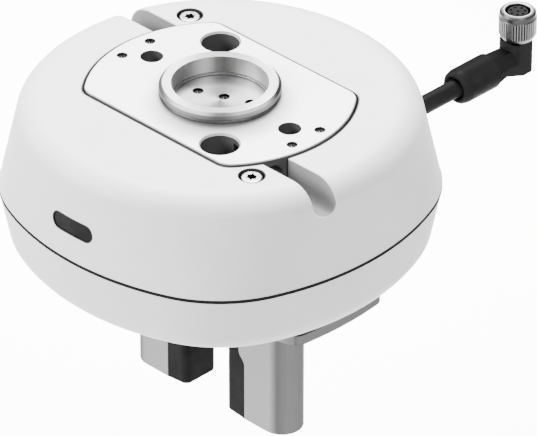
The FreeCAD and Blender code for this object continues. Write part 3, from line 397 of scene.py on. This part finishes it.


# Painted shade in the key channels, placed by their offset from the middle, height of the axis and
# reach of the round floor
CHANNEL_OFFSET = 0.0129
CHANNEL_AXIS = -0.00585
CHANNEL_REACH = 0.0032

# Painted shade on edges: round the window, in the cover screws' bores and along the gap round the
# flange plate
WINDOW_MARGIN = 0.0003
COVER_BORE = 0.0036
PLATE_GAP = 0.0006
PLATE_GAP_LINE = 0.00028
PLATE_CORNER = 0.0027

# Lowest height of the dome's top, where the bores and the gap are
DOME_TOP = -0.004


def inside_channel(shade):
    """1 on the faces of the two key channels, which have round floors and open tops."""
    side = shade.math("SIGN", shade.along("X"))
    across_channel = shade.math("ADD", shade.math("MULTIPLY", shade.along("Y"), side), CHANNEL_OFFSET)
    under_axis = shade.math("MINIMUM", shade.math("SUBTRACT", shade.along("Z"), CHANNEL_AXIS), 0.0)
    return shade.less(shade.distance(across_channel, under_axis), CHANNEL_REACH)


def round_window(shade):
    """1 on the shadowed edge round the status window, a slot with round ends."""
    low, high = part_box("status_window")
    half_height = (high.z - low.z) / 2
    past_end = shade.math("SUBTRACT", shade.math("ABSOLUTE", shade.along("X")), high.x - half_height)
    rise = shade.math("SUBTRACT", shade.along("Z"), low.z + half_height)
    from_middle = shade.distance(shade.math("MAXIMUM", past_end, 0.0), rise)
    slot = shade.less(from_middle, half_height + WINDOW_MARGIN)
    in_front = shade.less(shade.along("Y"), 0.0)
    return shade.both(slot, in_front)


def beside_plate(shade):
    """1 on the dome's edge round the flange plate, a disc with two flats and rounded corners."""
    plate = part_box("flange_plate")[1]
    past_arc = shade.math("SUBTRACT", shade.reach(), plate.x)
    past_flat = shade.math("SUBTRACT", shade.math("ABSOLUTE", shade.along("Y")), plate.y)
    past_plate = shade.math("SMOOTH_MAX", past_arc, past_flat, PLATE_CORNER)
    edge = shade.less(past_plate, PLATE_GAP + PLATE_GAP_LINE)
    return shade.both(edge, shade.facing("Z", 0.6, 0.9))


def white_shell(name, tone):
    shade = Shade(name, IOR=1.45)
    cloud = shade.noise(60, detail=4)
    grain = shade.noise(2600, detail=2)
    shade.colour(cloud, grey(tone - 0.02, 0.008), grey(tone + 0.02, 0.008))
    # Painted shade in the key channels and, from ambient occlusion, in crevices
    shade.blend(inside_channel(shade), grey(0.25)).blend(shade.crevice(0.009), grey(0.16))
    # Painted shadow round the window, along the gap round the flange plate and in the cover screws'
    # bores
    shade.blend(round_window(shade), grey(0.01))
    on_top = shade.above(DOME_TOP)
    cover_bores = shade.near(axes("cover_screws", COVER_SPREAD), COVER_BORE)
    shade.blend(shade.both(on_top, beside_plate(shade)), grey(0.02))
    shade.blend(shade.both(on_top, cover_bores), grey(0.01))
    return shade.roughness(grain, 0.42, 0.56).bump(grain, 0.00002, 0.35).material


# Painted shade on the rims of the small screws' holes, and painted highlights on the rims of the stud
# bores with their depth
SMALL_RIM = 0.00148
BRIGHT_RIM = 0.0006
STUD_REACH = 0.0053

# Shade round the ring's foot, deeper on the side that faces the camera
RING_SHADE_AXIS = Vector((0.0042, -0.0042))
RING_SHADE_INNER = 0.0107
RING_SHADE_OUTER = 0.0203
STUD_AXES = [Vector(mount["pos_m"]) for mount in frame["record"]["mounts"] if "stud" in mount["name"]]


def blasted_plate():
    shade = Shade("flange_blasted", metallic=0.35, rounding=0.0002)
    grain = shade.noise(5200, detail=3)
    shade.colour(shade.noise(180, detail=5), grey(0.76), grey(0.82))
    ring_shade = shade.ramp(shade.reach(RING_SHADE_AXIS), RING_SHADE_OUTER, RING_SHADE_INNER)
    # Painted shadow round the ring's foot and painted shade in crevices
    shade.blend(ring_shade, grey(0.01)).blend(shade.crevice(0.008, 0.95, 0.3), grey(0.3))
    # Painted shade: darker on the chamfers and darker still on the upright walls
    shade.blend(shade.facing("Z", 0.95, 0.75), grey(0.25)).blend(shade.upright(), grey(0.06))
    # Painted highlights on the stud bores' rims and painted shade round the small screws' holes
    rim = shade.both(shade.upright(), shade.above(-BRIGHT_RIM))
    shade.blend(shade.both(rim, shade.near(STUD_AXES, STUD_REACH)), grey(0.95))
    shade.blend(shade.near(axes("flange_screws", SMALL_SPREAD), SMALL_RIM), grey(0.01))
    return shade.roughness(grain, 0.46, 0.62).bump(grain, 0.00003, 0.5).material


# Ring: reach of its outside and of the recess's wall, height of its foot and of the recess's bottom
RING_OUTSIDE = 0.0148
RING_WALL = 0.014
RING_FOOT = 0.0011
RING_RECESS = -0.001

# Painted reflections on the ring, in bands: how far out each one starts and where it is full
MIDDLE_REFLECTION = (0.0065, 0.0015)
BRIGHT_REFLECTION = (0.004, 0.013)
WALL_REFLECTION = (-0.004, -0.013)
DARK_ENDS = (0.0165, 0.0205)
PALE_ENDS = (0.006, 0.018)

# Painted shade in fine lines at the foot of the recess's wall: a height and the tone from there down
WALL_LINES = ((-0.0015, 0.15), (-0.0017, 0.5), (-0.002, 0.15))


def turned_steel():
    shade = Shade("ring_turned", metallic=1.0, rounding=0.00015, Anisotropic=0.7).spun()
    lines = shade.turned(9000)
    standing = shade.upright()
    outside = shade.more(shade.reach(), RING_OUTSIDE)
    wall = shade.both(standing, shade.less(shade.reach(), RING_WALL))
    sideways = shade.math("ADD", shade.along("X"), shade.along("Y"))
    from_middle = shade.math("ABSOLUTE", sideways)
    from_sides = shade.math("ABSOLUTE", shade.math("SUBTRACT", shade.along("X"), shade.along("Y")))
    middle = shade.ramp(from_middle, *MIDDLE_REFLECTION)
    bright_reflection = shade.both(outside, shade.ramp(sideways, *BRIGHT_REFLECTION))
    dark_reflection = shade.both(outside, middle)
    # Painted light on the ring: highlights and dark reflections in bands on its top, sides and recess
    # wall, and painted shade on its sides, foot, ends and recess floor
    shade.colour(lines, grey(0.26), grey(0.32)).blend(shade.ramp(from_sides, *PALE_ENDS), grey(0.5))
    shade.blend(bright_reflection, grey(0.95)).blend(dark_reflection, grey(0.17))
    shade.blend(standing, grey(0.3)).blend(shade.both(standing, bright_reflection), grey(0.38))
    shade.blend(shade.both(standing, dark_reflection), grey(0.2))
    shade.blend(shade.both(outside, shade.below(RING_FOOT)), grey(0.2))
    dark_ends = shade.ramp(from_middle, *DARK_ENDS)
    shade.blend(shade.both(outside, dark_ends), grey(0.09)).blend(shade.below(RING_RECESS), grey(0.17))
    shade.blend(wall, grey(0.95)).blend(shade.both(wall, middle), grey(0.35))
    shade.blend(shade.both(wall, shade.ramp(sideways, *WALL_REFLECTION)), grey(0.6))
    for height, tone in WALL_LINES:
        shade.blend(shade.both(wall, shade.below(height)), grey(tone))
    # Painted shade round the small screws' holes
    shade.blend(shade.near(axes("ring_screws", SMALL_SPREAD), SMALL_RIM), grey(0.01))
    return shade.roughness(lines, 0.34, 0.46).bump(lines, 0.000012, 0.5).material


# Painted shadow line along the top edge of the fingers' feet
FOOT_LINE = 0.0007


def satin_finger():
    shade = Shade("finger_satin", metallic=1.0, rounding=0.0003, Specular_Tint=(0.4, 0.4, 0.4, 1))
    lines = shade.noise(900, stretch=(4, 4, 0.12), detail=4)
    # Fine lines of the finish, then painted shade on faces that look along X, in crevices and in a line
    # along the top of the feet
    shade.colour(lines, grey(0.215), grey(0.24)).blend(shade.facing("X", 0.15, 0.5), grey(0.085))
    shade.blend(shade.facing("X", 0.55, 0.85), grey(0.12))
    foot_shadow = shade.both(shade.upright(), shade.above(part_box("finger_right")[1].z - FOOT_LINE))
    shade.blend(shade.crevice(0.002), grey(0.02)).blend(foot_shadow, grey(0.02))
    return shade.roughness(lines, 0.32, 0.46).bump(lines, 0.00002, 0.35).material


def steel_screw(name="screw_bright", head=0.6):
    """Bright steel, returned with its builder so that more can be painted on it."""
    shade = Shade(name, metallic=1.0)
    marks = shade.noise(1500, detail=4)
    shade.colour(marks, grey(head * 0.9), grey(head * 1.1))
    return shade.roughness(marks, 0.22, 0.38).bump(marks, 0.00001, 0.4)


# How far under the head's top a key socket's tone starts
SOCKET_EDGE = 0.0001


def top_screw(node, spread, head, socket, socket_radius):
    """Dresses screws that are seen from above, with another tone in their key sockets: painted shade
    when darker than the head, a painted highlight when brighter.
    """
    shade = steel_screw(node, head)
    under_top = shade.below(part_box(node)[1].z - SOCKET_EDGE)
    shade.blend(shade.both(under_top, shade.near(axes(node, spread), socket_radius)), grey(socket))
    nodes[node].data.materials[0] = shade.material


def black_rubber():
    shade = Shade("pad_rubber", rounding=0.0004, Specular_IOR_Level=0.03)
    grain = shade.noise(3000, detail=3)
    shade.colour(shade.noise(220, detail=4), grey(0.007), grey(0.012))
    return shade.roughness(grain, 0.48, 0.68).bump(grain, 0.00004, 0.5).material


def seal_rubber():
    shade = Shade("seal_rubber", Specular_IOR_Level=0.05)
    grain = shade.noise(2400, detail=2)
    shade.colour(grain, grey(0.006), grey(0.012))
    return shade.roughness(grain, 0.6, 0.8).bump(grain, 0.00002, 0.4).material


def cable_jacket():
    shade = Shade("cable_jacket", Specular_IOR_Level=0.03)
    grain = shade.noise(2600, stretch=(1, 0.25, 1), detail=3)
    shade.colour(shade.noise(160, detail=4), grey(0.012), grey(0.018))
    # Painted shade: darker on faces that look up or down, holding back their highlight
    shade.blend(shade.facing("Z", 0.4, 0.9), grey(0.005))
    return shade.roughness(grain, 0.42, 0.6).bump(grain, 0.00003, 0.4).material


def plug_plastic():
    shade = Shade("plug_plastic", rounding=0.0004, Specular_IOR_Level=0.015)
    grain = shade.noise(3200, detail=3)
    shade.colour(shade.noise(140, detail=4), grey(0.012), grey(0.018))
    # Painted shade: darker on faces that look up or down, holding back their highlight
    shade.blend(shade.facing("Z", 0.5, 0.95), grey(0.005))
    return shade.roughness(grain, 0.36, 0.54).bump(grain, 0.00003, 0.4).material


def insert_plastic():
    shade = Shade("insert_plastic", Specular_IOR_Level=0.02)
    grain = shade.noise(2800, detail=2)
    shade.colour(grain, grey(0.008), grey(0.014))
    return shade.roughness(grain, 0.4, 0.55).bump(grain, 0.00001, 0.3).material


# Coupling nut: reach of its pale lip, outside which the bevel takes painted shade, and how far inside
# its outline the grooves start
NUT_LIP = 0.0039
GROOVE_START = 0.0001


def nickel():
    shade = Shade("nut_nickel", metallic=1.0, rounding=0.00008)
    marks = shade.noise(1800, detail=4)
    low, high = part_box("coupling_nut")
    axis = (low + high) / 2
    reach = shade.reach(axis)
    standing = shade.upright()
    grooves = shade.both(standing, shade.less(reach, (high.x - low.x) / 2 - GROOVE_START))
    shade.colour(marks, (0.86, 0.855, 0.84), (0.92, 0.915, 0.90))
    # Painted shade: darker on the bevel outside the lip, on the sides and darker still in the grooves
    shade.blend(shade.more(reach, NUT_LIP), grey(0.13))
    shade.blend(standing, grey(0.2)).blend(grooves, grey(0.06))
    return shade.roughness(marks, 0.26, 0.36).bump(marks, 0.000004, 0.2).material


def smoked_window():
    shade = Shade("window_smoke", Specular_IOR_Level=0.05)
    haze = shade.noise(300, detail=4)
    shade.colour(haze, grey(0.004), grey(0.009))
    return shade.roughness(haze, 0.14, 0.24).bump(haze, 0.00001, 0.2).material


def cast_frame():
    shade = Shade("frame_cast", metallic=0.8)
    grain = shade.noise(900, detail=5)
    shade.colour(grain, grey(0.42), grey(0.56))
    return shade.roughness(grain, 0.45, 0.65).bump(grain, 0.00008, 0.5).material


def board_mask():
    shade = Shade("board_mask", Coat_Weight=0.3)
    tracks = shade.noise(1400, stretch=(1, 0.2, 1), detail=1)
    shade.colour(tracks, (0.012, 0.09, 0.035), (0.03, 0.17, 0.07))
    return shade.roughness(tracks, 0.3, 0.45).bump(tracks, 0.00003, 0.4).material


def motor_paint():
    shade = Shade("motor_paint", metallic=0.3)
    grain = shade.noise(1600, detail=3)
    shade.colour(grain, grey(0.02), grey(0.04))
    return shade.roughness(grain, 0.35, 0.5).bump(grain, 0.00002, 0.4).material


def hobbed_brass():
    shade = Shade("gear_brass", metallic=1.0)
    marks = shade.noise(1500, detail=4)
    shade.colour(marks, (0.58, 0.40, 0.14), (0.72, 0.53, 0.24))
    return shade.roughness(marks, 0.22, 0.38).bump(marks, 0.00002, 0.4).material


def ground_steel():
    shade = Shade("shaft_ground", metallic=1.0)
    lines = shade.noise(1200, stretch=(0.2, 3, 3), detail=4)
    shade.colour(lines, grey(0.58), grey(0.68))
    return shade.roughness(lines, 0.15, 0.28).bump(lines, 0.00001, 0.4).material


def sintered_bronze():
    shade = Shade("bush_bronze", metallic=0.9)
    pores = shade.noise(3000, detail=4)
    shade.colour(pores, (0.36, 0.22, 0.09), (0.52, 0.35, 0.16))
    return shade.roughness(pores, 0.4, 0.6).bump(pores, 0.00003, 0.6).material


finishes = {
    "shell_white": white_shell("shell_white", 0.68),
    "seal_black": seal_rubber(),
    "window_smoke": smoked_window(),
    "flange_aluminium": blasted_plate(),
    "ring_steel": turned_steel(),
    "screw_steel": steel_screw().material,
    "finger_aluminium": satin_finger(),
    "pad_rubber": black_rubber(),
    "cable_black": cable_jacket(),
    "plug_black": plug_plastic(),
    "insert_black": insert_plastic(),
    "nut_nickel": nickel(),
    "frame_cast": cast_frame(),
    "board_green": board_mask(),
    "motor_dark": motor_paint(),
    "gear_brass": hobbed_brass(),
    "shaft_steel": ground_steel(),
    "bush_bronze": sintered_bronze(),
}


# Edges sharper than this stay sharp
CREASE = math.radians(28)


def dress(piece, finish):
    """Gives a piece its material and smooth faces up to a crease angle."""
    piece.data.materials.clear()
    piece.data.materials.append(finishes[finish])
    piece.data.polygons.foreach_set("use_smooth", [True] * len(piece.data.polygons))
    piece.data.set_sharp_from_angle(angle=CREASE)


# Every piece takes its slot's material, and the lower shell a darker copy of the same white, painted
# shade for the less light that reaches it
for subpart in frame["record"]["subparts"]:
    dress(nodes[subpart["node"]], subpart["material_slot"])
for finish, pieces in skins.items():
    for piece in pieces:
        dress(piece, finish)
cable.data.materials.append(finishes["cable_black"])
nodes["lower_housing"].data.materials[0] = white_shell("base_white_shaded", 0.6)

# Screws seen from above: bright heads with painted shade in their dark stars, and dark heads, painted
# shade in their counterbores, with painted highlights in their sockets
top_screw("cover_screws", COVER_SPREAD, head=0.5, socket=0.14, socket_radius=0.0016)
for name in ("flange_screws", "ring_screws"):
    top_screw(name, SMALL_SPREAD, head=0.02, socket=0.5, socket_radius=0.00058)


# Studio: pale floor far below, a high key light behind, lights in front and beside, one on the floor
FLOOR_REACH = 8
FLOOR_DROP = 0.5

floor_mesh = bpy.data.meshes.new("floor")
shape = bmesh.new()
bmesh.ops.create_grid(shape, x_segments=1, y_segments=1, size=FLOOR_REACH)
shape.to_mesh(floor_mesh)
shape.free()
floor = link("floor", floor_mesh)
floor.location.z = cad_box[0][2] - FLOOR_DROP
floor_shade = Shade("floor_paper")
paper = floor_shade.noise(12, detail=3)
floor_shade.colour(paper, grey(0.88), grey(0.92)).roughness(paper, 0.85, 0.95)
floor_mesh.materials.append(floor_shade.material)


def softbox(name, place, aim, size, power, spread=180):
    """A round area light, aimed at a point, with its spread in degrees."""
    data = bpy.data.lights.new(name, "AREA")
    data.shape = "DISK"
    data.size = size
    data.energy = power
    data.spread = math.radians(spread)
    lamp = link(name, data)
    lamp.location = place
    lamp.rotation_euler = (Vector(aim) - Vector(place)).to_track_quat("-Z", "Y").to_euler()


softbox("key_light", (-0.6, 0.55, 1.42), (0, 0, -0.02), 1.1, 150)
softbox("front_light", (-0.96, -1.44, 0.86), (0, 0, -0.04), 0.9, 88)
softbox("side_light", (1.45, -0.45, 1.1), (0, 0, -0.04), 0.8, 33)
softbox("floor_light", (-0.75, 0.75, 0.9), (-0.65, 0.65, -0.6), 0.5, 32, spread=60)
world = bpy.data.worlds.new("studio")
bpy.context.scene.world = world
world.use_nodes = True
background = world.node_tree.nodes["Background"]
background.inputs["Color"].default_value = (1, 1, 1, 1)
background.inputs["Strength"].default_value = 0.35
